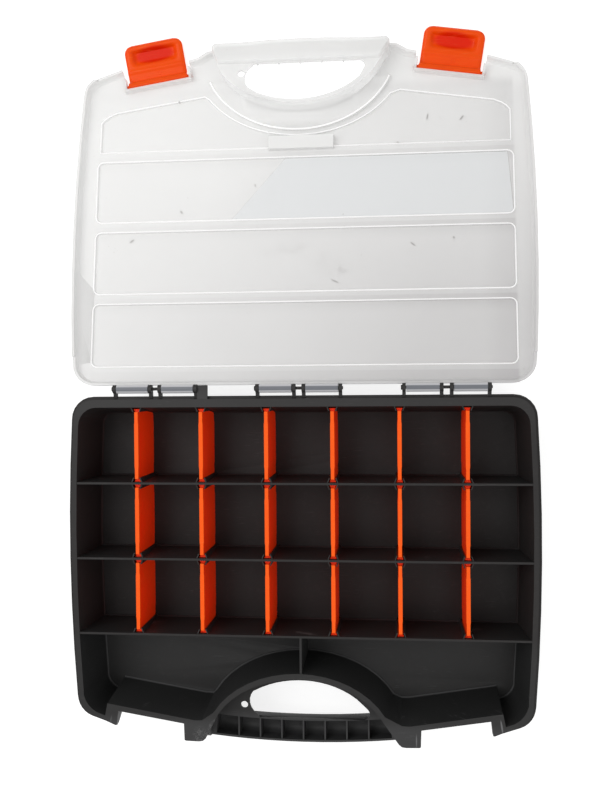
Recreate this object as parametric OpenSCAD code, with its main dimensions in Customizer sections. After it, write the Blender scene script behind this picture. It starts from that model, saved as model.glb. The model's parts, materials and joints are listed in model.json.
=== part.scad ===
// Parts organizer: a portable case with a compartment tray, a hinged see-through lid,
// two snap latches, three hinge pins and eighteen lift-out dividers.
// The case is drawn open, lid laid back on the table. The origin is the centre of the
// base, +Z is up, +Y points to the hinge and -Y to the carrying handle.

/* [Case] */
// Overall width over the rim, at its widest
case_w = 379; // [374:1:384]
// Height of the tray, from the table to the rim
tray_h = 53; // [52:0.5:54]
// Thickness of the tray's outer walls
wall = 2.2; // [1.8:0.1:2.6]
// Thickness of the tray's floor
floor_t = 2.4; // [2:0.1:3]
// How far the outer walls lean in from the rim to the floor
draft = 5.2; // [4.6:0.1:5.6]

/* [Compartments] */
// Distance between the two long partitions of the divided rows
row_pitch = 61.3; // [60.8:0.1:61.8]
// Distance between divider columns
column_pitch = 53.05; // [52.5:0.05:53.5]
// Thickness of a partition at its top edge
partition_t = 1.7; // [1.4:0.1:2]
// Number of divider columns
columns = 6; // [4:1:6]

/* [Dividers] */
// Length of a divider, wall to wall
divider_l = 59; // [58.6:0.1:59.2]
// Height of a divider
divider_h = 49; // [46:0.5:49]
// Thickness of a divider at its ends
divider_t = 2.8; // [2.2:0.1:3]

/* [Lid] */
// Height of the lid above the rim
lid_h = 9; // [8.5:0.5:9.5]
// Thickness of the lid
lid_t = 1.8; // [1.6:0.1:2]
// Angle between the closed lid and the lid as drawn
open_angle = 188.4; // [182:0.1:188.4]

/* [Latches] */
// Width of a latch
latch_w = 50.4; // [46:0.2:51]
// Length of a latch from its pivot to its tip
latch_l = 34.6; // [30:0.2:35]
// Angle between a fastened latch and the latch as drawn
latch_angle = 76.4; // [70:0.2:76.4]

/* [Hinge] */
// Diameter of the hinge pins
pin_d = 2.5; // [2:0.1:3]
// Outer diameter of the hinge barrels
barrel_d = 7.2; // [6.8:0.1:7.4]

/* [Hidden] */
rows = 3;
divider_nodes = [for (r = [1:rows], c = [1:columns]) str("divider_r", r, "_c", c)];

tray_colour = "#3b3b3d";
clear_colour = [0.93, 0.94, 0.95, 0.55];
orange = "#ee5a1c";
gap = 0.3;              // clearance between bodies that move past each other
eps = 0.01;

// Rim and walls
back_y = 139.5;         // back edge of the rim
rim_side = 6.4;         // rim width along the sides
rim_back = 8.9;         // rim width along the back
ledge = 2.4;            // outer step of the rim that the lid's skirt sits on
ledge_z = tray_h - 2.9; // top of that step
rim_z = tray_h - 5.7;   // underside of the rim
widest_y = 22;          // where the bowed sides are widest apart
bow = 3400;             // twice the radius of the bowed sides
front_c = [166.5, -105.5];
front_r = 18;           // outer front corners
pocket_c = [158.5, -100];
pocket_r = 20.6;        // front corners of the front compartments

// Arch between the front compartments and the handle
arch_x = -2;
arch_y = -140;
arch_in = [76, 57];     // half width and height of its compartment side
arch_out = [72.5, 52.3];// half width and height of its handle side

// Handle
grip_y = -144.6;        // front of the handle
grip_bow = 722;         // radius of its gentle curve
grip_w = 19.2;
grip_z = tray_h - 18;   // where the two halves of the handle meet
grip_low = 17;          // underside of the handle
grip_ribs = 7;
grip_rib_pitch = 17.8;

// Latch bays, one each side of the handle
front_slope = 9.1;      // angle of the front edges
bay_in = [95.4, -125.7];
bay_out = [149.8, -117];
latch_at = [122.3, -119.1];
latch_z = tray_h + 4.6;
latch_pin_r = 1.5;

// Hinge
hinge_y = back_y + 5.9;
hinge_z = tray_h - 1.6;
hinge_groups = [-116.5, 0, 116.5];
ear_t = 2.8;
ear_in = 3.9;           // inner pair of ears, from the middle of a group
ear_out = 33.2;         // outer pair
ear_r = 3.4;

// Partitions, counted from the hinge side
p1 = 69;
p2 = p1 - row_pitch;
p3 = p2 - row_pitch;
row_north = [p1, p2, p3];
column_x = [for (c = [1:columns]) (c - (columns + 1) / 2) * column_pitch];
slot_depth = 3.7;
slot_mouth = 2.2;       // half width of a divider slot at its mouth
slot_flare = 0.378;     // how fast it widens towards the wall

function arc(c, r, a0, a1, n) =
    [for (k = [0:n]) let (a = a0 + (a1 - a0) * k / n) [c.x + r * cos(a), c.y + r * sin(a)]];
function ellipse_arc(c, h, a0, a1, n) =
    [for (k = [0:n]) let (a = a0 + (a1 - a0) * k / n) [c.x + h.x * cos(a), c.y + h.y * sin(a)]];
function flip(p) = [-p.x, p.y];
function mirrored(half) = [for (k = [len(half) - 1:-1:0]) flip(half[k])];

// Half width of the case at y, over the rim
function side_x(y) = case_w / 2 - pow(y - widest_y, 2) / bow;

// Back corner and bowed side of an outline that lies t_s inside the rim's side edge
// and t_b inside its back edge, from the back edge to y_end
function back_and_side(t_s, t_b, r, y_end, n) =
    let (top = back_y - t_b, yc = top - r)
    concat(
        arc([side_x(yc) - t_s - r, yc], r, 90, 0, 6),
        [for (k = [1:n]) let (y = yc + (y_end - yc) * k / n) [side_x(y) - t_s, y]]
    );

// y of the front compartments' front wall at x, t inside the rim opening
function front_y(x, t) = -121.8 + (x - 92.5) * tan(9.3) + 1.2 * t;

// Right half of the tray's inner wall, t inside its line at the rim
function inner_right(t) = concat(
    back_and_side(rim_side + t, rim_back + 1.05 * t, 15 - t, pocket_c.y, 5),
    arc(pocket_c, pocket_r - t, -12, -75, 5),
    [[160.9, -121 + 1.1 * t], [158.9, front_y(158.9, t)]],
    [[86.5, front_y(86.5, t)], [80.5, -122.6 + 1.15 * t]]
);
function inner_outline(t) = concat(
    inner_right(t),
    ellipse_arc([arch_x, arch_y], [arch_in.x + 1.4 * t, arch_in.y + t], 25, 155, 16),
    mirrored(inner_right(t))
);

// Solid between outlines of equal length: rings holds [z, outline] pairs, lowest first
module loft(rings) {
    n = len(rings[0][1]);
    m = len(rings);
    points = [for (r = rings, p = r[1]) [p.x, p.y, r[0]]];
    sides = [for (j = [0:m - 2], k = [0:n - 1])
        let (a = j * n + k, b = j * n + (k + 1) % n)
        each [[b, b + n, a + n], [b, a + n, a]]];
    polyhedron(
        points = points,
        faces = concat(
            [[for (k = [n - 1:-1:0]) k]],
            [[for (k = [0:n - 1]) (m - 1) * n + k]],
            sides
        )
    );
}

// Keeps what lies between two heights, so that a loft ends in one flat face there
module clipped(z0, z1) {
    intersection() {
        children();
        translate([-250, -200, z0])
            cube([500, 400, z1 - z0]);
    }
}

// Extrudes a profile drawn in y and z along x, between x0 and x1
module along_x(x0, x1, profile) {
    translate([x0, 0, 0])
        rotate([90, 0, 90])
            linear_extrude(x1 - x0)
                polygon(profile);
}

module rod_x(x0, x1, r) {
    translate([x0, 0, 0])
        rotate([0, 90, 0])
            cylinder(h = x1 - x0, r = r, $fn = 48);
}

module both_sides() {
    children();
    mirror([1, 0, 0]) children();
}

// ---------------------------------------------------------------- tray

// The hollow inside the tray before the partitions are put back
module cavity() {
    clipped(floor_t, tray_h + 20)
        loft([
            [floor_t - 1, inner_outline(draft + 1.6)],
            [floor_t + 1.2, inner_outline(draft - 0.1)],
            [tray_h + 1, inner_outline(-0.1)]
        ]);
}

module walls() {
    loft([
        [0, inner_outline(draft - wall + 0.9)],
        [1.2, inner_outline(draft - wall)],
        [rim_z + 0.5, inner_outline(-wall)]
    ]);
}

// Stepped rim: a low outer ledge along the back and sides, a raised lip inside it
module rim_ledge() {
    arch = ellipse_arc([arch_x, arch_y], [arch_out.x + 2, arch_out.y + 2], 26, 154, 16);
    half = concat(
        back_and_side(0, 0, 18.5, front_c.y, 6),
        arc(front_c, front_r, -12, -70, 5),
        [[151.8, -129.6], [150.9, -117], [90, -108]]
    );
    translate([0, 0, rim_z])
        linear_extrude(ledge_z - rim_z)
            polygon(concat(half, arch, mirrored(half)));
}

module rim_lip() {
    arch = ellipse_arc([arch_x, arch_y], arch_out, 26, 154, 16);
    half = concat(
        back_and_side(ledge, ledge, 16.2, front_c.y, 6),
        arc([front_c.x - 0.6, front_c.y + 0.4], front_r - 1.6, -12, -70, 5),
        [[152.4, -128.6], [151.2, -128.4], bay_out, bay_in],
        [[95, -139], [93.8, -139.6], [83.5, -139.9], [80, -139.4], [77.6, -137.4]]
    );
    translate([0, 0, rim_z])
        linear_extrude(tray_h - rim_z)
            polygon(concat(half, arch, mirrored(half)));
}

// Blocks that carry the rim's ears beside each latch bay down to the front wall
module bay_brackets() {
    along_x(79, 95, [[-120, rim_z + 1], [-139, rim_z + 1], [-139, rim_z], [-122.4, 26], [-120, 26]]);
    along_x(151, 158.5, [[-112, rim_z + 1], [-128, rim_z + 1], [-128, rim_z], [-116, 27], [-112, 27]]);
}

// Cheek that joins the end of the handle to the rim
module handle_cheek() {
    along_x(75.6, 79.2, [
        [-121, rim_z + 1], [-136, rim_z + 1], [-139.4, grip_z + 6],
        [-140.6, grip_z], [-138.6, 22], [-133.5, grip_low + 0.6], [-121, grip_low + 0.6]
    ]);
}

// U-shaped section of the grip, x measured from the centre of its curve
function grip_section(inset, top) =
    let (r = 8 - inset, x0 = grip_bow - grip_w + inset, x1 = grip_bow - inset)
    let (low = grip_low + inset)
    concat(
        [[x0, top]],
        arc([x0 + r, low + r], r, 180, 270, 6),
        arc([x1 - r, low + r], r, 270, 360, 6),
        [[x1, top]]
    );

module swept_grip(section, half_angle) {
    translate([0, grip_y + grip_bow, 0])
        rotate([0, 0, -90 - half_angle])
            rotate_extrude(angle = 2 * half_angle, $fn = 360)
                polygon(section);
}

module grip_hollow() {
    difference() {
        swept_grip(grip_section(1.7, grip_z + 1), 5.75);
        for (k = [0:grip_ribs - 1])
            translate([(k - (grip_ribs - 1) / 2) * grip_rib_pitch - 0.6, grip_y - 5, 0])
                cube([1.2, 40, grip_z - 0.5]);
    }
}

function arch_line(x, h) = arch_y + h.y * sqrt(1 - pow((x - arch_x) / h.x, 2));

// Opening for the fingers: blunt at the hang-hole end, pointed at the other
finger_hole = concat(
    [[-36, -125.4]],
    arc([-32, -112], 12.3, 240, 138, 6),
    [for (x = [-34:6:50]) [x, arch_line(x, [63, 46])]],
    arc([49.4, -120.4], 5, 40, -90, 5)
);
hang_hole = [-48.6, -115.2];
hang_hole_r = 2.9;

// y of the line where the web joins the back wall of the grip
function web_edge(x) =
    grip_y + grip_w - 0.8 + pow(x, 2) / 2 / (grip_bow - grip_w) - (abs(x) > 70 ? 4 : 0);

module web() {
    translate([0, 0, grip_z - 2])
        linear_extrude(2)
            polygon(concat(
                ellipse_arc([arch_x, arch_y], [arch_out.x + 3.5, arch_out.y + 4.7], 14, 166, 16),
                [for (x = [-75:15:75]) [x, web_edge(x)]]
            ));
}

module hinge_ear(x) {
    translate([0, hinge_y, hinge_z])
        rod_x(x - ear_t / 2, x + ear_t / 2, ear_r);
    along_x(x - ear_t / 2, x + ear_t / 2, [
        [back_y - 3.5, rim_z], [hinge_y, hinge_z - ear_r],
        [hinge_y, hinge_z + 1], [back_y - 3.5, ledge_z]
    ]);
}

// Two slanted ribs that make a dovetail slot on a wall that faces -Y at y
module divider_slot(x, y, embed) {
    for (s = [-1, 1])
        translate([x, y, floor_t - 1])
            linear_extrude(tray_h - 1.6 - floor_t + 1)
                polygon([
                    [s * (slot_mouth + slot_flare * (slot_depth + embed)), embed],
                    [s * (slot_mouth + slot_flare * (slot_depth + embed) + 0.95), embed],
                    [s * (slot_mouth + 0.85), -slot_depth],
                    [s * slot_mouth, -slot_depth]
                ]);
}

module partition(y) {
    top = partition_t / 2;
    foot = top + 1.3;
    along_x(-case_w / 2, case_w / 2, [
        [y - foot - 1.65, floor_t - 1], [y - foot, floor_t + 1.2], [y - top, tray_h - 0.4],
        [y + top, tray_h - 0.4], [y + foot, floor_t + 1.2], [y + foot + 1.65, floor_t - 1]
    ]);
}

// Short wall that parts the two front compartments
module centre_rib() {
    translate([0, arch_y + arch_in.y - 3, 0])
        rotate([90, 0, 180])
            linear_extrude(p3 - arch_y - arch_in.y + 3)
                polygon([
                    [-1.7, floor_t - 1], [-1.5, floor_t + 1], [-0.85, tray_h - 0.4],
                    [0.85, tray_h - 0.4], [1.5, floor_t + 1], [1.7, floor_t - 1]
                ]);
}

module tray() {
    color(tray_colour)
    difference() {
        union() {
            walls();
            rim_ledge();
            rim_lip();
            both_sides() bay_brackets();
            both_sides() handle_cheek();
            swept_grip(grip_section(0, grip_z), 6.05);
            web();
            for (g = hinge_groups, x = [-ear_out, -ear_in, ear_in, ear_out])
                hinge_ear(g + x);
            // flat thumb tab beside the left group of ears
            translate([hinge_groups[0] + ear_out + ear_t / 2 - eps, back_y - 3, hinge_z - 0.8])
                cube([8.4, 11.6, 2.2]);
        }
        difference() {
            cavity();
            for (y = row_north) partition(y);
            centre_rib();
            for (x = column_x) {
                divider_slot(x, back_y - rim_back, 1.2);
                divider_slots_on(x);
            }
        }
        grip_hollow();
        translate([0, 0, grip_z - 3])
            linear_extrude(4)
                polygon(finger_hole);
        translate([hang_hole.x, hang_hole.y, grip_z - 3])
            cylinder(h = 4, r = hang_hole_r, $fn = 48);
        for (g = hinge_groups)
            translate([0, hinge_y, hinge_z])
                rod_x(g - ear_out - 3, g + ear_out + 3, pin_d / 2);
    }
}

// Slots on the partitions of one column of dividers
module divider_slots_on(x) {
    for (y = [p1, p2])
        divider_slot(x, y - partition_t / 2, 0.6);
    for (y = [p1, p2, p3])
        translate([0, 2 * y, 0])
            mirror([0, 1, 0])
                divider_slot(x, y - partition_t / 2, 0.6);
}

// ---------------------------------------------------------------- hinge pins

module hinge_pin(g) {
    color("#2c2c2e")
        translate([0, hinge_y, hinge_z]) {
            rod_x(g - ear_out - ear_t / 2 - 0.2, g + ear_out + ear_t / 2 + 0.8, pin_d / 2);
            rod_x(g - ear_out - ear_t / 2 - 1.1, g - ear_out - ear_t / 2, pin_d / 2 + 0.7);
        }
}

// ---------------------------------------------------------------- dividers

// A divider seen from above: dovetail heads that ride in the slots, thicker middle
function divider_plan() =
    let (e = divider_l / 2, h = divider_t / 2, m = h + 0.25, w = 2.6)
    let (quarter = [[w, e], [h, e - 2.6], [h, 19], [m, 17]])
    concat(
        quarter,
        [for (k = [3:-1:0]) [quarter[k].x, -quarter[k].y]],
        [for (k = [0:3]) [-quarter[k].x, -quarter[k].y]],
        [for (k = [3:-1:0]) [-quarter[k].x, quarter[k].y]]
    );

// Its side: heads lower than the middle, ends drawn in towards the rounded foot
function divider_side() =
    let (e = divider_l / 2, h = divider_h)
    [
        [-e, h - 3], [-e + 2.4, h - 3], [-e + 2.4, h], [e - 2.4, h], [e - 2.4, h - 3],
        [e, h - 3], [e - 4, 4], [e - 4.6, 1.4], [e - 5.8, 0.3], [e - 7, 0],
        [-e + 5, 0], [-e + 3.6, 0.3], [-e + 2.5, 1.4], [-e + 1.9, 4]
    ];

module divider(x, y) {
    color(orange)
        translate([x, y, floor_t + 0.1])
            intersection() {
                linear_extrude(divider_h)
                    polygon(divider_plan());
                along_x(-5, 5, divider_side());
            }
}

// ---------------------------------------------------------------- lid

lid_low = tray_h + gap;
lid_top = tray_h + lid_h;
border_z = lid_top - 1.5;      // top of the border, a step below the raised panels
lid_back = 142;                // hinge edge of the lid
lid_web_z = 41;                // underside of the web around the lid's finger hole
lid_grip_y = -123.5;           // where the lid's grip begins, at the finger hole
bar_z = grip_z + 3.6;          // face of the lid's bar, above the tray's grip
saddle_z = 55.3;               // ceiling of the band that passes over the tray's arch

// Turns and places something drawn with the case closed to where the open lid holds it
module opened() {
    translate([0, hinge_y, hinge_z])
        rotate([-open_angle, 0, 0])
            translate([0, -hinge_y, -hinge_z])
                children();
}

// Right half of the lid's outline, handle included, t inside its edge
function cover_right(t) = concat(
    back_and_side(t, back_y - lid_back + t, 18.5 - t, front_c.y, 6),
    arc(front_c, front_r - t, -12, -70, 5),
    [[152, -129.4 + t], [95 - 0.3 * t, -135.2 + t], [88 - 0.4 * t, -136.9 + t]],
    [[83.4 - 0.6 * t, -139.9 + t], [79.6 - 0.7 * t, -142.2 + 0.9 * t], [75 - 0.4 * t, -142.8 + t]],
    [[52, -143.6 + t], [26, -144.4 + t]]
);
function cover_outline(t) = concat(cover_right(t), mirrored(cover_right(t)));

// The lid's half of the handle, t inside its outer face
function handle_outline(t) = concat(
    ellipse_arc([arch_x, arch_y], [arch_out.x - 1.2 - t, arch_out.y - 1.2 - t], 154, 26, 14),
    [[73.6 - t, -136.4], [73.6 - t, -140 + t], [71 - t, -142.4 + t]],
    [for (x = [48:-24:-48]) [x, -144 + pow(x, 2) / 2 / grip_bow + t]],
    [[-71 + t, -142.4 + t], [-73.6 + t, -140 + t], [-73.6 + t, -136.4]]
);

// Frame of a latch on the closed case: x along its pivot, y in towards the case
module at_latch(side) {
    translate([side * latch_at.x, latch_at.y, latch_z])
        rotate([0, 0, side * front_slope])
            children();
}

// Rounded outline of a raised panel, drawn in by t
function panel(x0, x1, y0, y1, r, t) = concat(
    arc([x1 - r, y1 - r], r - t, 90, 0, 4),
    arc([x1 - r, y0 + r], r - t, 0, -90, 4),
    arc([x0 + r, y0 + r], r - t, -90, -180, 4),
    arc([x0 + r, y1 - r], r - t, 180, 90, 4)
);
panel_x = 174.5;
panel_rows = [[p1 + 2.6, 127.5], [p2 + 2.6, p1 - 2.6], [p3 + 2.6, p2 - 2.6]];

// Front panel: it follows the arch and stays behind the latch bays
function front_panel(t) =
    let (x1 = panel_x - 2 - t, y1 = p3 - 2.6 - t)
    let (half = [[x1, y1], [x1, -84], [x1 - 4, -90 + t], [158, -94.5 + t], [82, -106.2 + t]])
    concat(
        half,
        ellipse_arc([arch_x, arch_y], [arch_in.x + 12 + t, arch_in.y + 13 + t], 32, 148, 12),
        mirrored(half)
    );

module panels(rings) {
    for (p = panel_rows)
        loft([for (r = rings) [r[0], panel(-panel_x, panel_x, p[0], p[1], 6, r[1])]]);
    loft([for (r = rings) [r[0], front_panel(r[1])]]);
}

module lid_closed() {
    difference() {
        union() {
            // cover: border, rounded edge and four raised panels
            clipped(lid_low, border_z)
                loft([
                    [lid_low - 1, cover_outline(-0.15)],
                    [border_z - 2.6, cover_outline(0.3)],
                    [border_z - 0.8, cover_outline(1.2)],
                    [border_z + 0.4, cover_outline(3.9)]
                ]);
            clipped(border_z - 1, lid_top)
                panels([[border_z - 2, -0.3], [lid_top - 0.6, 0.5], [lid_top + 0.3, 1.7]]);
            // skirt that drops over the rim's lip, along the sides
            lid_skirt();
            // handle half, with a rounded bar that meets the tray's half
            translate([0, 0, lid_web_z])
                linear_extrude(border_z - 1 - lid_web_z)
                    polygon(handle_outline(0));
            handle_bar();
            for (g = hinge_groups, s = [-1, 1])
                lid_barrel(g, s);
        }
        difference() {
            union() {
                clipped(lid_low - 1, border_z - lid_t)
                    loft([
                        [lid_low - 2, cover_outline(1.9)],
                        [border_z - lid_t - 1.6, cover_outline(2.3)],
                        [border_z - lid_t + 0.4, cover_outline(4.4)]
                    ]);
                clipped(border_z - lid_t - 1, lid_top - lid_t)
                    panels([
                        [border_z - lid_t - 2, 1.6], [lid_top - lid_t - 0.6, 2.1],
                        [lid_top - lid_t + 0.3, 3.1]
                    ]);
            }
            // walls left standing around the handle, the finger hole and the latch bays
            translate([0, 0, lid_low - 2])
                linear_extrude(20)
                    polygon(handle_outline(0));
            both_sides() at_latch(1)
                translate([-28.9, -30, -10]) cube([57.8, 35, 20]);
            badge_boss();
            // band that dips over the tray's arch
            translate([0, 0, saddle_z])
                linear_extrude(20)
                    polygon(saddle_outline(0));
        }
        // the same dip from outside
        difference() {
            translate([0, 0, saddle_z + lid_t])
                linear_extrude(20)
                    polygon(saddle_outline(1.8));
            translate([0, 0, saddle_z])
                linear_extrude(30)
                    polygon(handle_outline(0));
        }
        handle_hollow();
        translate([0, 0, grip_z - 2])
            linear_extrude(40)
                polygon(lid_finger_hole);
        translate([hang_hole.x, hang_hole.y, grip_z - 2])
            cylinder(h = 40, r = hang_hole_r, $fn = 48);
        both_sides() at_latch(1) {
            // open bay for the latch, and the holes for its pivots
            translate([-27, -40, -12]) cube([54, 43.1, 24]);
            rod_x(-29.5, 29.5, latch_pin_r + 0.08);
            translate([-28.9, -40, -12]) cube([57.8, 33, 24]);
        }
        // recess behind the badge boss
        translate([-25, p3 - 10.9, lid_top - 3.9])
            cube([50, 7.2, 5]);
    }
}

lid_finger_hole = concat(
    [[-38, lid_grip_y]],
    arc([-33.4, -111], 12.3, 232, 138, 6),
    [for (x = [-35:6:49]) [x, arch_line(x, [66, 48.4])]],
    arc([48.4, lid_grip_y + 5], 5, 40, -90, 5)
);

// Band of the lid between its arch line and its handle, t inside the arch line
function saddle_outline(t) =
    ellipse_arc([arch_x, arch_y], [arch_in.x + 4.5 - t, arch_in.y + 11 - t], 20, 160, 16);

// Rounded bar under the web, held by the hand together with the tray's grip
function bar_outline(t) = panel(-95, 95, -150, lid_grip_y, 4, t);

module handle_bar() {
    clipped(bar_z, lid_web_z + 1)
        intersection() {
            loft([
                [bar_z - 0.5, handle_outline(3.2)], [bar_z + 0.7, handle_outline(1.4)],
                [bar_z + 2, handle_outline(0.5)], [lid_web_z + 2, handle_outline(0.1)]
            ]);
            loft([
                [bar_z - 0.6, bar_outline(3.4)], [bar_z + 0.6, bar_outline(1.6)],
                [bar_z + 1.9, bar_outline(0.6)], [lid_web_z + 2.1, bar_outline(0)]
            ]);
        }
}

// Inside of the handle, open to the outside, with low ribs across the bar
module handle_hollow() {
    difference() {
        union() {
            intersection() {
                translate([0, 0, bar_z + 2])
                    linear_extrude(40)
                        polygon(handle_outline(3.4));
                translate([0, 0, bar_z + 1])
                    linear_extrude(42)
                        polygon(bar_outline(3.6));
            }
            translate([0, 0, lid_web_z + 2])
                linear_extrude(40)
                    polygon(handle_outline(1.8));
        }
        for (k = [0:grip_ribs - 1])
            translate([(k - (grip_ribs - 1) / 2) * grip_rib_pitch - 0.6, -150, bar_z])
                cube([1.2, 150 + lid_grip_y - 1.5, 9]);
    }
}

module badge_boss() {
    translate([-27, p3 - 12.9, lid_top - 6.2])
        cube([54, 11.2, 10]);
}

// Strip under the lid's edge that covers the outside of the rim's lip
module lid_skirt() {
    difference() {
        translate([0, 0, ledge_z + gap])
            linear_extrude(lid_low - ledge_z)
                polygon(concat(skirt_half(0), mirrored(skirt_half(0))));
        translate([0, 0, ledge_z])
            linear_extrude(10)
                polygon(concat(skirt_half(2), mirrored(skirt_half(2))));
        // the strip stops short of the back corners and of the latch bays
        translate([-200, 118, ledge_z])
            cube([400, 60, 10]);
        translate([-200, -200, ledge_z])
            cube([400, 80, 10]);
        translate([-158, -200, ledge_z])
            cube([316, 300, 10]);
    }
}
function skirt_half(t) = concat(
    back_and_side(t, t, 18.5 - t, front_c.y, 6),
    arc(front_c, front_r - t, -12, -70, 5),
    [[150, -130 + t]]
);

// One of the lid's barrels, between an inner and an outer ear, with its bridge
module lid_barrel(g, s) {
    a = ear_in + ear_t / 2 + 0.35;
    b = ear_out - ear_t / 2 - 0.35;
    x0 = g + (s > 0 ? a : -b);
    x1 = g + (s > 0 ? b : -a);
    difference() {
        union() {
            translate([0, hinge_y, hinge_z]) rod_x(x0, x1, barrel_d / 2);
            along_x(x0, x1, [
                [lid_back - 4, lid_low], [hinge_y - 1, lid_low - 1], [hinge_y + 1, hinge_z + 3],
                [hinge_y, hinge_z + barrel_d / 2], [lid_back - 1, border_z - 3],
                [lid_back - 4, border_z - 2]
            ]);
        }
        translate([0, hinge_y, hinge_z]) rod_x(x0 - 1, x1 + 1, pin_d / 2 + 0.07);
    }
}

module lid() {
    color(clear_colour)
        opened() lid_closed();
}

// ---------------------------------------------------------------- latches

// Side profile of a fastened latch in y and z about its pivot
latch_profile = [
    [0, 2.4], [-3.6, 2.4], [-4.8, 1.2], [-4.8, -latch_l + 12], [-6.4, -latch_l + 10.2],
    [-7.8, -latch_l + 8], [-8, -latch_l + 3], [-7.2, -latch_l + 0.8], [-5.6, -latch_l],
    [-3.6, -latch_l + 0.4], [-2.8, -latch_l + 1.6], [-3.6, -latch_l + 2.2],
    [-5.4, -latch_l + 2.4], [-6, -latch_l + 4], [-5.8, -latch_l + 7.6],
    [-4.4, -latch_l + 10.2], [-2.8, -latch_l + 12.2], [-2.8, -14.6], [-0.9, -12.2],
    [-0.9, -10.7], [-2.8, -10.2], [-2.8, -2.4], [0, -2.4]
];

// Front view of a latch: rounded free corners
function latch_front() =
    let (w = latch_w / 2, r = 7)
    concat(
        [[w + 0.6, 3], [w + 0.6, -4], [w, -5]],
        arc([w - r, -latch_l + r], r, 0, -90, 6),
        arc([-w + r, -latch_l + r], r, -90, -180, 6),
        [[-w, -5], [-w - 0.6, -4], [-w - 0.6, 3]]
    );

module latch_closed() {
    intersection() {
        union() {
            along_x(-latch_w / 2 - 1, latch_w / 2 + 1, latch_profile);
            rod_x(-latch_w / 2 - 1, latch_w / 2 + 1, 2.4);
            // side walls of the finger pocket
            for (s = [-1, 1])
                along_x(s * (latch_w / 2 - 1) - 1, s * (latch_w / 2 - 1) + 1, [
                    [-4.6, -latch_l + 12], [-7.8, -latch_l + 8], [-8, -latch_l + 3],
                    [-7.2, -latch_l + 0.8], [-5.6, -latch_l], [-2.8, -latch_l + 1.6],
                    [-2.8, -latch_l + 12.2]
                ]);
        }
        translate([0, 10, 0])
            rotate([90, 0, 0])
                linear_extrude(30)
                    polygon(latch_front());
    }
    rod_x(-28.6, 28.6, latch_pin_r);
}

module latch(side) {
    color(orange)
        opened()
            at_latch(side)
                rotate([-latch_angle, 0, 0])
                    latch_closed();
}
module latch_left() { latch(-1); }
module latch_right() { latch(1); }

// ---------------------------------------------------------------- the assembly

tray();
lid();
latch_left();
latch_right();
hinge_pin(hinge_groups[0]);  // hinge_pin_left
hinge_pin(hinge_groups[1]);  // hinge_pin_centre
hinge_pin(hinge_groups[2]);  // hinge_pin_right
for (r = [1:rows], c = [1:columns])
    divider(column_x[c - 1], row_north[r - 1] + partition_t / 2 + gap + divider_l / 2);
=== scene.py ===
# %% [markdown]
# # A parts organizer, lid laid back
# The case is a black tray with rows of compartments, a frosted lid that turns right over
# on three hinge pins, two orange latches and eighteen orange dividers. The packed CAD model
# gives every size and place. This lesson adds what a moulded plastic case looks like: soft
# edges, satin black plastic, milky translucent plastic, and light worn marks.

# %% Load the CAD frame
import json
import math

import bpy
from mathutils import Matrix, Vector


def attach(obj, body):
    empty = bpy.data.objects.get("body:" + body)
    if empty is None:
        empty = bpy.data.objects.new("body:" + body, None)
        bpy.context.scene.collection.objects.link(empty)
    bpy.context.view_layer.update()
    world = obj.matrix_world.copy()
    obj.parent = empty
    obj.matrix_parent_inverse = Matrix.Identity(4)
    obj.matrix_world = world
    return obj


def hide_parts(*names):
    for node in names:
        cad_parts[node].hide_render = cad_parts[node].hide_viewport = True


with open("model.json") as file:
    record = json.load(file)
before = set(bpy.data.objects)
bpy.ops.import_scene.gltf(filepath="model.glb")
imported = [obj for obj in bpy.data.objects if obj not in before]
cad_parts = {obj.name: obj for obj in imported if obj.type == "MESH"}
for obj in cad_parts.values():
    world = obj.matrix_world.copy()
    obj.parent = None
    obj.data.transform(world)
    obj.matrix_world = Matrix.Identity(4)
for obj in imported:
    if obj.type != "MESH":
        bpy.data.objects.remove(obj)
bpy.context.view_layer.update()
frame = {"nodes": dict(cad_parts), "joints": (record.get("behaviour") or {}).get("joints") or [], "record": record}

MM = 0.001
nodes = frame["nodes"]
bodies = frame["record"]["behaviour"]["bodies"]
body_of = {node: body for body, members in bodies.items() for node in members}
print("nodes:", len(nodes), "bodies:", len(bodies))

# %% [markdown]
# ## Camera
# The case is seen from straight above, a little from the hinge side of the tray, so the
# inner walls of the compartments lean outwards in the picture. A camera 0.78 m up with a
# slightly wide lens gives that. The lens is set for a picture 600 wide and 800 tall.

# %% Camera
CAMERA_PLACE = Vector((74.97, 151.06, 779.5)) * MM
CAMERA_TURN = (-0.0216, 0.1010, -0.0081)
LENS_MM = 41.43
FILM_WIDTH_MM = 36
NEAREST_SEEN = 0.01

camera_data = bpy.data.cameras.new("camera")
camera_data.lens = LENS_MM
camera_data.sensor_width = FILM_WIDTH_MM
camera_data.clip_start = NEAREST_SEEN
camera = bpy.data.objects.new("camera", camera_data)
camera.location = CAMERA_PLACE
camera.rotation_euler = CAMERA_TURN
bpy.context.scene.collection.objects.link(camera)
bpy.context.scene.camera = camera
print("camera", tuple(round(v, 3) for v in camera.location))

# %% [markdown]
# ## Light
# A studio table shot: a big soft light high on the left, a wide pale sky for fill, and a
# white table. The standard view keeps the white table white and the orange strong.

# %% World and lights
scene = bpy.context.scene
scene.view_settings.view_transform = "Standard"
scene.view_settings.look = "None"

SKY_COLOUR = (1, 0.995, 0.985, 1)
SKY_STRENGTH = 0.62
world = bpy.data.worlds.new("studio")
world.use_nodes = True
sky = world.node_tree.nodes["Background"]
sky.inputs["Color"].default_value = SKY_COLOUR
sky.inputs["Strength"].default_value = SKY_STRENGTH
scene.world = world

# name: place, the point it faces, side of the square in metres, power in watts
LIGHTS = {
    "key": ((-0.9, 0.5, 1.5), (0, 0.15, 0), 1.2, 13),
    "fill": ((0.9, -0.4, 1.7), (0, 0.1, 0), 1.4, 7),
}


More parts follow.
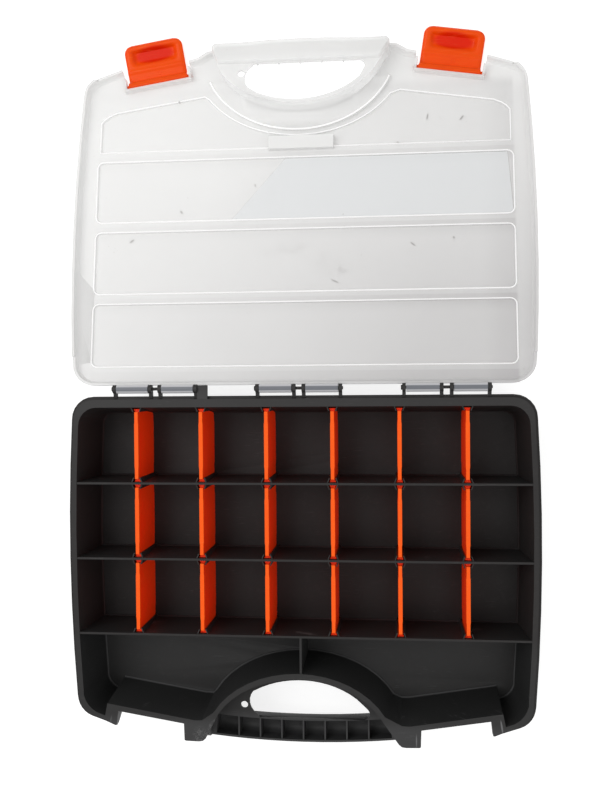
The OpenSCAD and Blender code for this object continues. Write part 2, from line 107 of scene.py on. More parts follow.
def soft_light(name, place, target, size, power):
    """A square area light at place that faces target."""
    data = bpy.data.lights.new(name, "AREA")
    data.size = size
    data.energy = power
    light = bpy.data.objects.new(name, data)
    light.location = place
    light.rotation_euler = (Vector(target) - Vector(place)).to_track_quat("-Z", "Y").to_euler()
    scene.collection.objects.link(light)


for name, (place, target, size, power) in LIGHTS.items():
    soft_light(name, place, target, size, power)

# %% [markdown]
# ## Writing materials as sums
# A material is a tree of small nodes. `Value` wraps one output, so that maths on it is
# written as a Python expression and adds Math nodes. `Recipe` holds the tree and adds any
# other node from its type, its settings and the values of its inputs.

# %% Sums of values


class Value:
    """One output of a node tree. Maths on it adds Math nodes."""

    def __init__(self, tree, socket):
        self.tree = tree
        self.socket = socket

    def math(self, operation, *others):
        made = self.tree.nodes.new("ShaderNodeMath")
        made.operation = operation
        for place, value in enumerate((self, *others)):
            plug(self.tree, made.inputs[place], value)
        return Value(self.tree, made.outputs[0])

    def __add__(self, other):
        return self.math("ADD", other)

    __radd__ = __add__

    def __mul__(self, other):
        return self.math("MULTIPLY", other)

    __rmul__ = __mul__

    def __sub__(self, other):
        return self.math("SUBTRACT", other)

    def __rsub__(self, other):
        return (self * -1) + other

    def above(self, low, high):
        """0 below low, 1 above high, and a smooth step between them."""
        made = self.tree.nodes.new("ShaderNodeMapRange")
        made.interpolation_type = "SMOOTHSTEP"
        plug(self.tree, made.inputs["Value"], self)
        made.inputs["From Min"].default_value = low
        made.inputs["From Max"].default_value = high
        return Value(self.tree, made.outputs["Result"])

    def below(self, low, high):
        """1 below low, 0 above high, and a smooth step between them."""
        return 1 - self.above(low, high)

    def within(self, low, high, soft):
        """1 from low to high, fading out over soft on each side."""
        return self.above(low - soft, low) * self.below(high, high + soft)


def plug(tree, place, value):
    """Links a Value to an input, or sets the input to a plain value."""
    if isinstance(value, Value):
        tree.links.new(value.socket, place)
    else:
        place.default_value = value


print("value maths: + - * above below within, and any Math node by its name")

# %% [markdown]
# ## One recipe for each material
# Every plastic here needs the same few things: cloudy noise, fine straight scratches, marks
# at a known place, a bump, and a Principled shader at the end. `Recipe` makes each of them in
# one call. It reads Object coordinates, so a pattern stays on its piece when a joint moves.

# %% Material recipe


class Recipe:
    """The node tree of one material, with its Object coordinates ready."""

    def __init__(self, name):
        self.material = bpy.data.materials.new(name)
        self.material.use_nodes = True
        self.tree = self.material.node_tree
        self.tree.nodes.clear()
        self.place = self.node("ShaderNodeTexCoord", out="Object")
        parts = self.tree.nodes.new("ShaderNodeSeparateXYZ")
        self.tree.links.new(self.place.socket, parts.inputs[0])
        self.x, self.y, self.z = (Value(self.tree, o) for o in parts.outputs)
        facing = self.tree.nodes.new("ShaderNodeSeparateXYZ")
        geometry = self.node("ShaderNodeTexCoord", out="Normal")
        self.tree.links.new(geometry.socket, facing.inputs[0])
        self.up = Value(self.tree, facing.outputs[2])

    def node(self, kind, settings=None, inputs=None, out=0):
        """Adds a node; settings first, then its inputs; gives one of its outputs."""
        made = self.tree.nodes.new(kind)
        for name, value in (settings or {}).items():
            setattr(made, name, value)
        for name, value in (inputs or {}).items():
            plug(self.tree, made.inputs[name], value)
        return Value(self.tree, made.outputs[out])

    def noise(self, scale, detail=4, rough=0.55, warp=0, at=None):
        return self.node(
            "ShaderNodeTexNoise",
            {},
            {
                "Vector": at or self.place,
                "Scale": scale,
                "Detail": detail,
                "Roughness": rough,
                "Distortion": warp,
            },
            "Fac",
        )

    def stretched(self, turn, scale):
        """Object coordinates turned about Z and stretched, for marks that run one way."""
        return self.node(
            "ShaderNodeMapping",
            {},
            {"Vector": self.place, "Rotation": (0, 0, math.radians(turn)), "Scale": scale},
        )

    def mix(self, low, high, mask):
        """Colour from low to high by mask."""
        made = self.tree.nodes.new("ShaderNodeMix")
        made.data_type = "RGBA"
        plug(self.tree, made.inputs["Factor"], mask)
        for name, value in (("A", low), ("B", high)):
            socket = next(s for s in made.inputs if s.name == name and s.type == "RGBA")
            plug(self.tree, socket, value if isinstance(value, Value) else (*value, 1))
        socket = next(s for s in made.outputs if s.type == "RGBA")
        return Value(self.tree, socket)

    def scratches(self, turn, pitch, thin, keep):
        """Fine straight marks that run one way; keep says how few there are."""
        across = self.stretched(turn, (1, thin, 1))
        return self.noise(pitch, 2, 0.6, 0.3, across).above(keep, keep + 0.05)

    def spot(self, place, size, turn=0):
        """1 inside an oval of this size round place, fading out at its edge."""
        centred = self.node(
            "ShaderNodeMapping",
            {"vector_type": "TEXTURE"},
            {
                "Vector": self.place,
                "Location": tuple(Vector(place) * MM),
                "Rotation": (0, 0, math.radians(turn)),
                "Scale": tuple(Vector(size) * MM),
            },
        )
        away = self.node("ShaderNodeVectorMath", {"operation": "LENGTH"}, {0: centred}, "Value")
        return away.below(0.6, 1)

    def spots(self, marks):
        """Several spots in one mask; each mark is a place, a size and a turn."""
        mask = self.spot(*marks[0])
        for mark in marks[1:]:
            mask = mask + self.spot(*mark)
        return mask

    def bump(self, height, distance, strength=1):
        return self.node(
            "ShaderNodeBump",
            {},
            {"Height": height, "Distance": distance, "Strength": strength},
            "Normal",
        )

    def surface(self, **inputs):
        """Ends the tree in a Principled shader with these inputs."""
        shader = self.tree.nodes.new("ShaderNodeBsdfPrincipled")
        for name, value in inputs.items():
            plug(self.tree, shader.inputs[name.replace("_", " ")], value)
        output = self.tree.nodes.new("ShaderNodeOutputMaterial")
        self.tree.links.new(shader.outputs[0], output.inputs[0])
        return self.material


print("recipe calls:", sorted(call for call in vars(Recipe) if not call.startswith("_")))

# %% [markdown]
# ## Black tray plastic
# The tray is moulded polypropylene. It is nearly black, but rims and partition tops are
# rubbed by the lid and by fingers, so they are a lighter grey, and so are the handle and the
# front of the case. The steep walls are painted a lighter grey, which is painted light, and a
# pale line along the foot of the walls is a painted highlight on the floor fillets. A cloudy
# noise varies the gloss, a grain breaks up the highlights, fine pale scratches run across it,
# the front corners have scuffs where the case knocks against things, and thin pale streaks
# run down the bay cheeks and the right lobe's end. Each of these is a mask, and each mask
# mixes in one tone.

# %% Tray plastic
# tones, as linear colours
TRAY_DARK, TRAY_PALE = (0.0085, 0.0066, 0.0066), (0.0135, 0.0112, 0.0110)
PAINTED_WALL_LIGHT = (0.018, 0.0195, 0.0195)
RUBBED_TONE = (0.026, 0.025, 0.025)
FRONT_TONE = (0.021, 0.021, 0.021)
GRIP_TONE = (0.040, 0.040, 0.041)
FOOT_HIGHLIGHT = (0.070, 0.070, 0.071)
DUST_TONE = (0.05, 0.047, 0.044)
WEAR_TONE = (0.24, 0.24, 0.24)
STREAK_TONE = (0.16, 0.16, 0.165)
# where the masks begin and end, in metres
RIM_TOP = (0.0495, 0.0515)
FOOT_HIGHLIGHT_BAND = (0.0030, 0.0043, 0.0005)
BACK_ROW = (0.10, 0.13)
FRONT_BAY = (-0.062, -0.052)
GRIP_LINE = (-0.128, -0.118)
# marks: place and size in mm, and turn in degrees
SCUFFED = (
    ((-80, -139, 50), (9, 14, 12), 20), ((-72, -128, 50), (4, 9, 12), -30),
    ((-74.5, -138, 42), (5, 5, 9), 0), ((32, -120, 34), (9, 2, 6), 0),
)
STREAKS = (
    ((91.5, -134.3, 48), (0.9, 9, 8), 0), ((95, -134.6, 47), (0.7, 9, 8), 0),
    ((157.8, -121, 50), (0.9, 7, 9), 9), ((-156, -124, 46), (1.0, 7, 9), -9),
    ((-152, -126, 40), (3.2, 6, 7), -9),
)


def make_tray_plastic(name):
    r = Recipe(name)
    cloud = r.noise(28, 3)
    grain = r.noise(2600, 2, 0.7)
    dust = r.noise(210, 5, 0.7).above(0.5, 0.72) * r.up.above(0.6, 0.95)
    marks = r.scratches(35, 60, 42, 0.66) + r.scratches(-28, 48, 55, 0.68)
    marks = marks * r.noise(36, 2).above(0.5, 0.62)
    scuff = r.spots(SCUFFED) * r.noise(700, 5, 0.75, 1.5).above(0.5, 0.62)
    streak = r.spots(STREAKS).math("MINIMUM", 1)
    rubbed = r.z.above(*RIM_TOP) * r.up.above(0.3, 0.9)
    foot = r.z.within(*FOOT_HIGHLIGHT_BAND) * r.up.within(-0.2, 0.97, 0.02)
    front = r.y.below(*FRONT_BAY)
    grip = r.y.below(*GRIP_LINE)
    steep = 1 - r.up.math("ABSOLUTE").above(0.3, 0.8)
    wear = (marks * 0.35 + scuff).math("MINIMUM", 1)
    colour = r.mix(TRAY_DARK, TRAY_PALE, cloud)
    # painted light: the steep walls are painted a lighter grey
    colour = r.mix(colour, PAINTED_WALL_LIGHT, steep * 0.8)
    colour = r.mix(colour, RUBBED_TONE, rubbed * (0.45 + r.y.above(*BACK_ROW) * 0.45))
    colour = r.mix(colour, FRONT_TONE, front * 0.7)
    colour = r.mix(colour, GRIP_TONE, grip * 0.75)
    # painted highlight: a pale line on the floor fillets along the foot of the walls, stronger at the front
    colour = r.mix(colour, FOOT_HIGHLIGHT, foot * (0.35 + front * 0.65))
    colour = r.mix(colour, DUST_TONE, dust * 0.12)
    colour = r.mix(colour, WEAR_TONE, wear * 0.5)
    # thin pale streaks down the bay cheeks and at the right lobe's end
    colour = r.mix(colour, STREAK_TONE, streak * 0.75)
    return r.surface(
        Base_Color=colour,
        Roughness=0.42 + cloud * 0.14 + grain * 0.06 + wear * 0.2,
        Specular_IOR_Level=0.30,
        IOR=1.5,
        Normal=r.bump(grain + wear * 0.4, 0.00006, 0.55),
    )


tray_plastic = make_tray_plastic("tray_plastic")
pin_plastic = make_tray_plastic("pin_plastic")
print("tray plastic nodes:", len(tray_plastic.node_tree.nodes))

# %% [markdown]
# ## Frosted lid plastic
# Unfilled polypropylene is milky: light goes through it, but nothing behind it is sharp.
# A partly see-through white surface does that and also survives an export. The light comes
# from the left, so the right and hinge sides of the lid and the foot of each raised row are
# greyer, and part of that grey is mixed into the colour by place. The lid has been slid over
# benches, so it has hairline scratches, small dark nicks and faint grey smears.

# %% Lid plastic
# tones, as linear colours
SHADE_TONE = (0.40, 0.385, 0.39)
DIRT_TONE = (0.22, 0.21, 0.20)
BARREL_TONE = (0.42, 0.42, 0.45)
PIN_TONE = (0.10, 0.11, 0.13)
# where the masks begin and end on the open lid, in metres
FAR_RIGHT = (-0.17, 0.18)
HINGE_SIDE = (0.17, 0.36)
LID_START = (0.1478, 0.1492)
PIN_BAND = (0.1441, 0.1466, 0.0008)
HANDLE_START = (0.385, 0.405)
PANEL_SIDES = (-0.172, 0.172, 0.003)
PANEL_END = (0.392, 0.402)
PANEL_RIGHT = (0.143, 0.170)
ROW_PLACE = 0.2199
ROW_PITCH = 0.06064
# marks: place and size in mm, and turn in degrees
NICKS = (
    ((104.2, 367.9, 11), (0.9, 3.4, 9), -10), ((132.1, 366, 11), (1.0, 3.0, 9), -38),
    ((79.9, 346.7, 14), (1.1, 1.4, 9), 20), ((91.4, 261.3, 27), (0.8, 3.2, 9), 52),
    ((124.3, 266, 26), (1.1, 1.2, 9), 0), ((-38.4, 314, 19), (0.7, 1.8, 9), 8),
    ((-142, 269, 26), (0.9, 3.0, 9), -55), ((-100.4, 292.7, 22), (1.0, 1.8, 9), 35),
    ((-104, 388, 9), (1.0, 1.4, 9), 0), ((28, 232, 31), (0.7, 4.5, 9), 65),
)
SMEARS = (((-12, 262, 27), (26, 9, 14), 12), ((26, 247, 29), (19, 13, 14), -20))
HANDLE = ((-2, 402, 20), (92, 62, 60))


def make_clear_plastic(name, milk, tint, shaded, painted_glow=0.0):
    """milk is how solid it looks, tint how bright, shaded how much painted shade it takes, and the last how much
    light it gives off, a painted light.
    """
    r = Recipe(name)
    cloud = r.noise(14, 4, 0.6)
    grain = r.noise(1900, 2, 0.6)
    hair = r.scratches(12, 40, 70, 0.66) + r.scratches(63, 46, 60, 0.67)
    hair = (hair + r.scratches(-41, 38, 75, 0.68)) * r.noise(22, 3).above(0.46, 0.6)
    specks = r.noise(330, 2, 0.5).above(0.735, 0.76) * r.noise(30, 2).above(0.5, 0.6)
    nicks = r.spots(NICKS)
    smear = r.spots(SMEARS) + r.noise(9, 3).above(0.62, 0.8) * 0.4
    smear = smear * r.noise(85, 6, 0.75, 1.2).above(0.47, 0.7)
    right = r.x.above(*FAR_RIGHT)
    near = r.y.below(*HINGE_SIDE)
    on_lid = r.y.above(*LID_START)
    on_handle = r.y.above(*HANDLE_START)
    row = ((r.y - ROW_PLACE) * (1 / ROW_PITCH)).math("FRACT")
    in_panel = r.x.within(*PANEL_SIDES) * r.y.below(*PANEL_END)
    foot = row.above(0.74, 0.96) * in_panel * (0.35 + right * 0.65)
    side = r.x.above(*PANEL_RIGHT) * in_panel
    shade = right * 0.20 * (1 - on_handle * 0.8) + near * 0.20 + right * near * 0.16
    shade = shade + foot * 0.16 + side * 0.14
    walls = (1 - r.up.math("ABSOLUTE")).above(0.25, 0.75) * r.spot(*HANDLE)
    dirt = (hair * 0.2 + specks * 0.9 + nicks * 1.2 + smear * 0.35).math("MINIMUM", 1)
    barrel = 1 - on_lid
    colour = r.mix(tint, tuple(0.96 * c for c in tint), cloud)
    colour = r.mix(colour, SHADE_TONE, shade * shaded * on_lid)
    colour = r.mix(colour, DIRT_TONE, dirt * 0.6)
    colour = r.mix(colour, BARREL_TONE, barrel * 0.8)
    colour = r.mix(colour, PIN_TONE, r.y.within(*PIN_BAND) * barrel * 0.85)
    solid = milk + cloud * 0.08 + dirt * 0.3 + barrel * 0.30
    return r.surface(
        Base_Color=colour,
        Roughness=0.32 + cloud * 0.15 + hair * 0.15,
        Alpha=(solid * (1 - walls * 0.40)).math("MINIMUM", 1),
        Specular_IOR_Level=0.4,
        IOR=1.49,
        # painted light: a faint emission, though the plastic is no lamp
        Emission_Color=(1, 1, 1, 1),
        Emission_Strength=painted_glow,
        Normal=r.bump(grain + r.noise(90, 3) * 2, 0.00008, 0.4),
    )


clear_plastic = make_clear_plastic("clear_plastic", 0.60, (0.87, 0.87, 0.865), 1.0)
# the bead finish is whiter, less shaded and faintly emitting: a painted highlight
clear_edge_highlight = make_clear_plastic("clear_edge_highlight", 0.90, (1.0, 1.0, 1.0), 0.15, 0.10)
clear_badge_highlight = make_clear_plastic("clear_badge_highlight", 0.78, (0.94, 0.94, 0.935), 0.2)
clear_label = make_clear_plastic("clear_label", 0.80, (0.86, 0.875, 0.885), 0.35)
print("lid plastic nodes:", len(clear_plastic.node_tree.nodes))

# %% [markdown]
# ## Orange plastics
# Latches and dividers are the same orange family. The latches are polished by thumbs, and
# their finger pockets are painted a deeper red as painted shade; the dividers are satin,
# painted brighter along the top edge as a painted highlight, and a deep red-orange below as
# painted shade and the redder light that comes through the plastic. Both also give off a
# faint painted light.
# The dividers' finish is made here, and the latches' one once their shape is known.

# %% Divider plastic
RUB_TONE = (0.95, 0.36, 0.12)
DIVIDER_HIGHLIGHT_TOP = (0.0495, 0.0512)


def make_orange(name, deep, bright, gloss, lit, painted_glow):
    """lit gives, from the recipe, the mask of the places painted bright as painted light; gloss is the roughness;
    the last argument sets a faint emission, a painted light.
    """
    r = Recipe(name)
    cloud = r.noise(45, 4)
    grain = r.noise(2200, 2, 0.65)
    rubbed = (r.scratches(20, 70, 30, 0.64) + r.scratches(-50, 60, 36, 0.66)) * 0.5
    colour = r.mix(deep, bright, lit(r))
    colour = r.mix(colour, tuple(0.8 * c for c in deep), cloud * 0.3)
    colour = r.mix(colour, RUB_TONE, rubbed * 0.2)
    return r.surface(
        Base_Color=colour,
        Roughness=gloss + cloud * 0.12 + rubbed * 0.15,
        Specular_IOR_Level=0.14,
        Subsurface_Weight=0.08,
        Subsurface_Scale=0.002,
        # painted light: a faint emission gives the orange plastic light of its own
        Emission_Color=r.mix(deep, bright, cloud),
        Emission_Strength=painted_glow,
        IOR=1.5,
        Normal=r.bump(grain + r.noise(160, 2) * 1.5, 0.00005, 0.4),
    )


# painted highlight along the divider tops; the deep red-orange below is painted shade
divider_plastic = make_orange(
    "divider_plastic", (0.90, 0.022, 0.0008), (0.88, 0.115, 0.006), 0.42,
    lambda r: r.z.above(*DIVIDER_HIGHLIGHT_TOP), 0.10,
)

SLOT_OF = {s["node"]: s["material_slot"] for s in frame["record"]["subparts"]}
FINISH = {
    "pin_plastic": pin_plastic,
    "tray_plastic": tray_plastic,
    "clear_plastic": clear_plastic,
    "divider_plastic": divider_plastic,
}
print("materials:", sorted(FINISH))

# %% [markdown]
# ## Softened copies of the CAD shells
# Moulded plastic has no knife edges. A copy of a CAD shell is merged into one skin, flat
# neighbours are joined into single faces, and every remaining edge gets a fine bevel that
# catches the light. The bevel keeps the flat faces' own normals, so that the big floors stay
# flat. The CAD node itself is left alone and the copy stands for it.

# %% Copy, merge and bevel
MERGE_WITHIN = 0.00002
FLAT_WITHIN = math.radians(0.6)


def alone(piece):
    """Makes piece the only selected and active object."""
    bpy.ops.object.select_all(action="DESELECT")
    piece.select_set(True)
    bpy.context.view_layer.objects.active = piece


def finish_piece(piece, body, slot, stands_for=(), finish=None):
    """Gives a piece its material and the body it rides on, and hides the CAD nodes it stands for."""
    piece.data.materials.clear()
    piece.data.materials.append(finish or FINISH[slot])
    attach(piece, body)
    if stands_for:
        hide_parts(*stands_for)
    return piece


def shell_copy(name, node):
    """A copy of a CAD node as one merged skin with flat faces joined."""
    piece = bpy.data.objects.new(name, nodes[node].data.copy())
    scene.collection.objects.link(piece)
    alone(piece)
    bpy.ops.object.mode_set(mode="EDIT")
    bpy.ops.mesh.select_all(action="SELECT")
    bpy.ops.mesh.remove_doubles(threshold=MERGE_WITHIN)
    bpy.ops.mesh.dissolve_limited(angle_limit=FLAT_WITHIN)
    bpy.ops.object.mode_set(mode="OBJECT")
    return piece


def soften(piece, width, segments=2, angle=28):
    """Bevels every edge sharper than angle degrees, and shades the rest smooth."""
    alone(piece)
    bpy.ops.object.shade_smooth_by_angle(angle=math.radians(angle + 5))
    bevel = piece.modifiers.new("soft_edges", "BEVEL")
    bevel.width = width
    bevel.segments = segments
    bevel.limit_method = "ANGLE"
    bevel.angle_limit = math.radians(angle)
    bevel.use_clamp_overlap = True
    bevel.harden_normals = True
    bpy.ops.object.modifier_apply(modifier=bevel.name)
    print(piece.name, "faces:", len(piece.data.polygons))
    return piece


# %% [markdown]
# ## Tray, lid, pins and dividers
# The tray, the pins and the dividers are softened copies. The lid's copy keeps its sharp
# steps, because a bevel between faces that meet at such small angles leaves dark wedges on
# see-through plastic. The beads further on give the lid its bright edges instead, as painted
# highlights.

# %% Tray, lid, pins and dividers
TRAY_EDGE, DIVIDER_EDGE, PIN_EDGE = 0.3 * MM, 0.25 * MM, 0.15 * MM
LID_SMOOTH = math.radians(20)

tray_shell = soften(shell_copy("tray_shell", "tray"), TRAY_EDGE)
finish_piece(tray_shell, body_of["tray"], SLOT_OF["tray"], ["tray"])

lid_shell = shell_copy("lid_shell", "lid")
alone(lid_shell)
bpy.ops.object.shade_smooth_by_angle(angle=LID_SMOOTH)
finish_piece(lid_shell, body_of["lid"], SLOT_OF["lid"], ["lid"])
print(lid_shell.name, "faces:", len(lid_shell.data.polygons))

for node, body in body_of.items():
    if node.startswith("divider"):
        piece = soften(shell_copy(node + "_wall", node), DIVIDER_EDGE)
        finish_piece(piece, body, SLOT_OF[node], [node])
    if node.startswith("hinge_pin"):
        piece = soften(shell_copy(node + "_rod", node), PIN_EDGE)
        finish_piece(piece, body, SLOT_OF[node], [node])

# %% [markdown]
# ## From the closed case to the open one
# Details of the lid are easiest to place as if the case were closed, where the lid lies
# level. One matrix, made from the lid's hinge joint, turns them to where the open lid is.

# %% Opening matrix
joints = {joint["name"]: joint for joint in frame["joints"]}
lid_joint = joints["lid_hinge"]
hinge_place = Vector(lid_joint["pos_m"])
OPEN_TURN = Matrix.Rotation(math.radians(lid_joint["range_deg"][0]), 4, "X")
OPENING = Matrix.Translation(hinge_place) @ OPEN_TURN @ Matrix.Translation(-hinge_place)
print("lid turned by", lid_joint["range_deg"][0], "degrees about", tuple(hinge_place))


def settle(piece, matrix=Matrix.Identity(4)):
    """Moves the mesh itself by matrix, and leaves the object at the origin, unturned."""
    piece.data.transform(matrix @ piece.matrix_world)
    piece.matrix_world = Matrix.Identity(4)
    return piece


# %% [markdown]
# ## Rounded beads on the lid
# Seen from inside, each step between the border and a raised panel gets a rounded bead of
# whiter, faintly glowing plastic, a painted highlight that shows as a thin bright line. A bead
# is a ring of edges that is bent to its path, turned into a curve, given a round section, and
# turned back into a mesh.

# %% Bead maker
BEAD_RADIUS = 0.55


def bead(name, path, height, closed=True, radius=BEAD_RADIUS):
    """A round bead along path, points in mm on the closed case at this height."""
    bpy.ops.object.select_all(action="DESELECT")
    bpy.ops.mesh.primitive_circle_add(vertices=len(path), fill_type="NOTHING")
    piece = bpy.context.object
    piece.name = name
    for vertex, point in zip(piece.data.vertices, path):
        vertex.co = Vector((point[0], point[1], height)) * MM
    if not closed:
        last = {0, len(path) - 1}
        bpy.ops.object.mode_set(mode="EDIT")
        bpy.ops.mesh.select_all(action="DESELECT")
        bpy.ops.mesh.select_mode(type="EDGE")
        bpy.ops.object.mode_set(mode="OBJECT")
        for edge in piece.data.edges:
            edge.select = set(edge.vertices) == last
        bpy.ops.object.mode_set(mode="EDIT")
        bpy.ops.mesh.delete(type="EDGE")
        bpy.ops.object.mode_set(mode="OBJECT")
    bpy.ops.object.convert(target="CURVE")
    piece = bpy.context.object
    piece.data.bevel_depth = radius * MM
    piece.data.bevel_resolution = 2
    piece.data.use_fill_caps = True
    bpy.ops.object.convert(target="MESH")
    piece = bpy.context.object
    piece.name = name
    bpy.ops.object.shade_smooth()
    settle(piece, OPENING)
    # painted highlight: the bead takes the whiter, faintly emitting bead finish
    finish_piece(piece, body_of["lid"], SLOT_OF["lid"], finish=clear_edge_highlight)
    print(piece.name, "faces:", len(piece.data.polygons))


def arc_points(centre, radii, start, end, count):
    """Points along an arc of an ellipse, from start to end in degrees."""
    return [
        (centre[0] + radii[0] * math.cos(a), centre[1] + radii[1] * math.sin(a))
        for a in (math.radians(start + (end - start) * k / count) for k in range(count + 1))
    ]


# %% Beads round the three panels
PANEL_HALF = 172.9
PANEL_ROWS = {"back": (73.2, 125.9), "middle": (11.9, 64.8), "front": (-49.4, 3.5)}
PANEL_CORNER = 5
STEP_HEIGHT = 58.7

x = PANEL_HALF - PANEL_CORNER
for row, (low, high) in PANEL_ROWS.items():
    low, high = low + PANEL_CORNER, high - PANEL_CORNER
    ring = []
    for middle, start in (((x, high), 90), ((x, low), 0), ((-x, low), -90), ((-x, high), 180)):
        ring += arc_points(middle, (PANEL_CORNER, PANEL_CORNER), start, start - 90, 5)
    bead("panel_highlight_bead_" + row, ring, STEP_HEIGHT)

# %% [markdown]
# ## The panel behind the handle
# The fourth panel's highlight bead follows the arch of the handle, and so does a thicker
# highlight bead on a taller ridge in front of it, which is an open line and not a ring. Both
# use arcs round the same middle.

# %% Beads along the arch
ARCH_MIDDLE = (-2, -140)
ARCH_PANEL, ARCH_RIDGE = (89.6, 71.6), (80.5, 68)
RIDGE_HEIGHT, RIDGE_RADIUS = 55.3, 0.8

right_end = [
    (170.9, -57.8), (170.9, -84), (168, -87.6), (164, -90.4), (158, -92.9), (82, -104.6)
]
left_end = [(-x, y) for x, y in reversed(right_end)]
ring = right_end + arc_points(ARCH_MIDDLE, ARCH_PANEL, 32, 148, 28) + left_end
bead("panel_highlight_bead_arch", ring, STEP_HEIGHT)
ridge = arc_points(ARCH_MIDDLE, ARCH_RIDGE, 21, 159, 40)
bead("arch_ridge_highlight", ridge, RIDGE_HEIGHT, False, RIDGE_RADIUS)

# %% [markdown]
# ## Badge and label
# Behind the arch a small raised badge stands on the lid, with a thin plate of brighter, less
# shaded lid plastic on its face as a painted highlight, and the row behind it holds a label: a
# thin plate with a slanted left end. Both are plain, with nothing written on them.

# %% Badge and label plates
LABEL_OUTLINE = [(-57, 2.6), (-13, -48.4), (168, -48.4), (172.2, 2.6)]
BADGE_OUTLINE = [(-27, -66.6), (27, -66.6), (27, -55.6), (-27, -55.6)]
GRID_ORDER = (0, 1, 3, 2)
ROUND_ANGLE = 40


def plate(name, outline, height, thick, edge, finish):
    """A thin plate with bevelled edges, its outline in mm on the closed case."""
    bpy.ops.object.select_all(action="DESELECT")
    bpy.ops.mesh.primitive_plane_add(size=1)
    piece = bpy.context.object
    piece.name = name
    for place, point in zip(GRID_ORDER, outline):
        piece.data.vertices[place].co = Vector((point[0], point[1], height)) * MM
    bpy.ops.object.mode_set(mode="EDIT")
    bpy.ops.mesh.select_all(action="SELECT")
    bpy.ops.mesh.bevel(offset=edge * 2 * MM, segments=3, affect="VERTICES")
    bpy.ops.mesh.select_all(action="SELECT")
    bpy.ops.mesh.extrude_region_move(
        TRANSFORM_OT_translate={"value": (0, 0, -thick * MM)}
    )
    bpy.ops.mesh.select_all(action="SELECT")
    bpy.ops.mesh.normals_make_consistent(inside=False)
    bpy.ops.object.mode_set(mode="OBJECT")
    soften(piece, edge * MM, 2, ROUND_ANGLE)
    settle(piece, OPENING)
    finish_piece(piece, body_of["lid"], SLOT_OF["lid"], finish=finish)


plate("label", LABEL_OUTLINE, 60.1, 0.5, 0.15, clear_label)
# painted highlight: the badge plate is brighter, less shaded lid plastic
plate("badge", BADGE_OUTLINE, 55.8, 0.9, 0.3, clear_badge_highlight)

# %% [markdown]
# ## Latches
# A latch is one curved plate on a pivot rod: a round base, a step, a flat middle with a soft
# hook ridge, and a finger pocket with a rolled lip and rounded free corners. It starts as a
# fine grid that is drawn down into that shape like sheet clay, is given its wall by a
# Solidify modifier, and is then laid on the pivot of each latch joint.

# %% Latch shape
# lengths in mm: x runs along the pivot, and s away from it
LATCH_HALF = 25.2
LATCH_LONG = 34.6
LATCH_CORNER = 7.0
BEHIND_PIVOT = 0.6
POCKET_DEEP = 3.6
LIP_HIGH = 0.5
EDGE_ROLL = 1.5
RIDGE_LINE = [
    (-0.6, 1.4), (1.2, 2.0), (2.7, 1.5), (3.4, 0.2), (3.9, -2.3), (4.8, -2.8), (10.4, -2.8),
    (11.8, -2.1), (13.2, -2.0), (14.8, -2.8), (36, -2.8),
]


def smooth(value, low, high):
    """0 below low, 1 above high, and a smooth step between them."""
    t = min(max((value - low) / (high - low), 0), 1)
    return t * t * (3 - 2 * t)


def latch_height(x, s):
    """Height of the inner face at x along the pivot and s away from it, in mm."""
    for (s0, h0), (s1, h1) in zip(RIDGE_LINE, RIDGE_LINE[1:]):
        if s0 <= s <= s1:
            height = h0 + (h1 - h0) * (s - s0) / (s1 - s0)
    along = smooth(s, 15.6, 21.4) * (1 - smooth(s, 28.2, 30.2))
    across = 1 - smooth(abs(x), 15.4 + 0.1 * (s - 18), 20.4)
    rim = min(half_width(s) - abs(x), LATCH_LONG - s)
    lip = LIP_HIGH * smooth(s, 28.8, 30.8) * smooth(rim, 0.2, 1.8)
    rolled = EDGE_ROLL * (1 - smooth(rim, 0, 2.0)) * smooth(s, 3, 6)
    return height - POCKET_DEEP * along * across + lip - rolled


def half_width(s):
    """Half the latch's width at s, less where its free corners are rounded."""
    past = max(s - (LATCH_LONG - LATCH_CORNER), 0)
    return LATCH_HALF - LATCH_CORNER + math.sqrt(max(LATCH_CORNER**2 - past**2, 0))


print("latch height on its centre line, mm:", [round(latch_height(0, s), 2) for s in (0, 8, 24)])

# %% [markdown]
# ## Where the latches lie
# Each latch turns on its own joint, and the two bays slope away from the middle by the same
# angle on either side. One function gives the matrix for both, and the painted shade in the
# finish's finger pockets is placed with it.

# %% Latch place and plastic
LATCH_UP = Matrix(((1, 0, 0, 0), (0, 0, 1, 0), (0, -1, 0, 0), (0, 0, 0, 1)))
LATCH_TURN = 76.4
FRONT_SLOPE = 9.1
POCKET_PLACE, POCKET_SIZE = (0, 24.6, -5), (21, 8, 20)


def latch_name(side):
    return "latch_left" if side < 0 else "latch_right"


def latch_lay(side):
    """The matrix that lays a latch, modelled flat along +Y, on its pivot."""
    return (
        Matrix.Translation(joints[latch_name(side) + "_hinge"]["pos_m"])
        @ OPEN_TURN
        @ Matrix.Rotation(math.radians(side * FRONT_SLOPE), 4, "Z")
        @ Matrix.Rotation(math.radians(-LATCH_TURN), 4, "X")
        @ LATCH_UP
    )


def latch_tone_and_pocket_shade(r):
    """Bright all over with a random tone, and painted deeper in the two finger pockets as painted shade."""
    pockets = r.spots([
        (latch_lay(side) @ (Vector(POCKET_PLACE) * MM) / MM, POCKET_SIZE, -side * FRONT_SLOPE)
        for side in (-1, 1)
    ])
    return (0.78 + r.noise(30, 2) * 0.22) * (1 - pockets)


latch_plastic = make_orange(
    "latch_plastic", (0.70, 0.016, 0.0004), (0.87, 0.088, 0.002), 0.30, latch_tone_and_pocket_shade, 0.02
)
FINISH["latch_plastic"] = latch_plastic
print("materials:", sorted(FINISH))

# %% [markdown]
# ## Making a latch
# The grid's points are lifted into shape one by one, as the sheet is only a height over a
# flat outline. Two rods make the round base and the pivot ends, and a small torus is the
# ring mark that the mould's ejector pin leaves. All are joined into one piece.

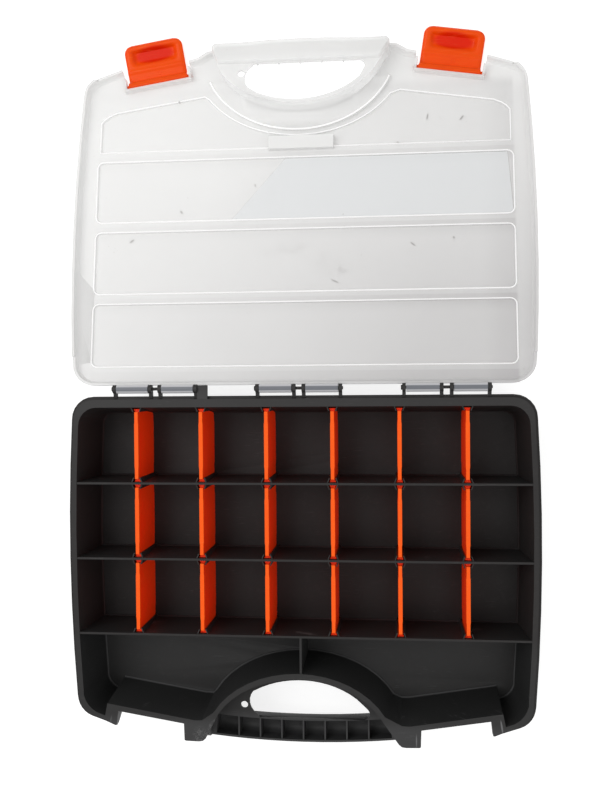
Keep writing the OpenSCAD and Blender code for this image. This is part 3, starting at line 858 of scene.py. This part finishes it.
# %% Latches
GRID_STEPS = 44
LATCH_WALL = 1.9
BASE_ROD, PIVOT_ROD = (2.4, 25.6, 0.4), (1.5, 28.5, 0.25)
MARK_PLACE, MARK_RADIUS, MARK_THICK = (2, 8.2, -2.8), 1.5, 0.16


def rod(radius, half, bevel):
    """A round rod along X with softened ends."""
    bpy.ops.object.select_all(action="DESELECT")
    bpy.ops.mesh.primitive_cylinder_add(
        vertices=32, radius=radius * MM, depth=2 * half * MM, rotation=(0, math.pi / 2, 0)
    )
    piece = bpy.context.object
    settle(piece)
    return soften(piece, bevel * MM, 2, ROUND_ANGLE)


def make_latch(side):
    """The left latch for side -1, the right one for side 1."""
    name = latch_name(side)
    bpy.ops.object.select_all(action="DESELECT")
    bpy.ops.mesh.primitive_grid_add(x_subdivisions=GRID_STEPS, y_subdivisions=GRID_STEPS, size=1)
    piece = bpy.context.object
    piece.name = name + "_plate"
    for vertex in piece.data.vertices:
        s = (vertex.co.y + 0.5) * (LATCH_LONG + BEHIND_PIVOT) - BEHIND_PIVOT
        x = vertex.co.x * 2 * half_width(s)
        vertex.co = Vector((x, s, latch_height(x, s))) * MM
    wall = piece.modifiers.new("wall", "SOLIDIFY")
    wall.thickness = LATCH_WALL * MM
    wall.offset = -1
    bpy.ops.object.modifier_apply(modifier=wall.name)
    soften(piece, 0.3 * MM, 2, 50)
    parts = [piece, rod(*BASE_ROD), rod(*PIVOT_ROD)]
    bpy.ops.object.select_all(action="DESELECT")
    bpy.ops.mesh.primitive_torus_add(
        major_radius=MARK_RADIUS * MM, minor_radius=MARK_THICK * MM,
        major_segments=28, minor_segments=8, location=tuple(v * MM for v in MARK_PLACE),
    )
    parts.append(settle(bpy.context.object))
    bpy.ops.object.shade_smooth()
    bpy.ops.object.select_all(action="DESELECT")
    for part in parts:
        part.select_set(True)
    bpy.context.view_layer.objects.active = piece
    bpy.ops.object.join()
    settle(piece, latch_lay(side))
    return finish_piece(piece, body_of[name], SLOT_OF[name], [name])


for side in (-1, 1):
    made = make_latch(side)
    print(made.name, "faces:", len(made.data.polygons))

# %% [markdown]
# ## Table
# A plain white table, so the case is the only thing to look at. It glows a little, as a lit
# table does, which keeps shadows faint and lights the lid from below.

# %% Table
TABLE_SIZE, TABLE_PLACE = 6, (0, 0.15, -0.0002)

table_paint = bpy.data.materials.new("table")
table_paint.use_nodes = True
shader = table_paint.node_tree.nodes["Principled BSDF"]
shader.inputs["Base Color"].default_value = (0.45, 0.45, 0.45, 1)
shader.inputs["Roughness"].default_value = 0.9
shader.inputs["Emission Color"].default_value = (1, 1, 1, 1)
shader.inputs["Emission Strength"].default_value = 0.74
bpy.ops.object.select_all(action="DESELECT")
bpy.ops.mesh.primitive_plane_add(size=TABLE_SIZE, location=TABLE_PLACE)
table = bpy.context.object
table.name = "table"
table.data.materials.append(table_paint)
print("table is", TABLE_SIZE, "m wide")
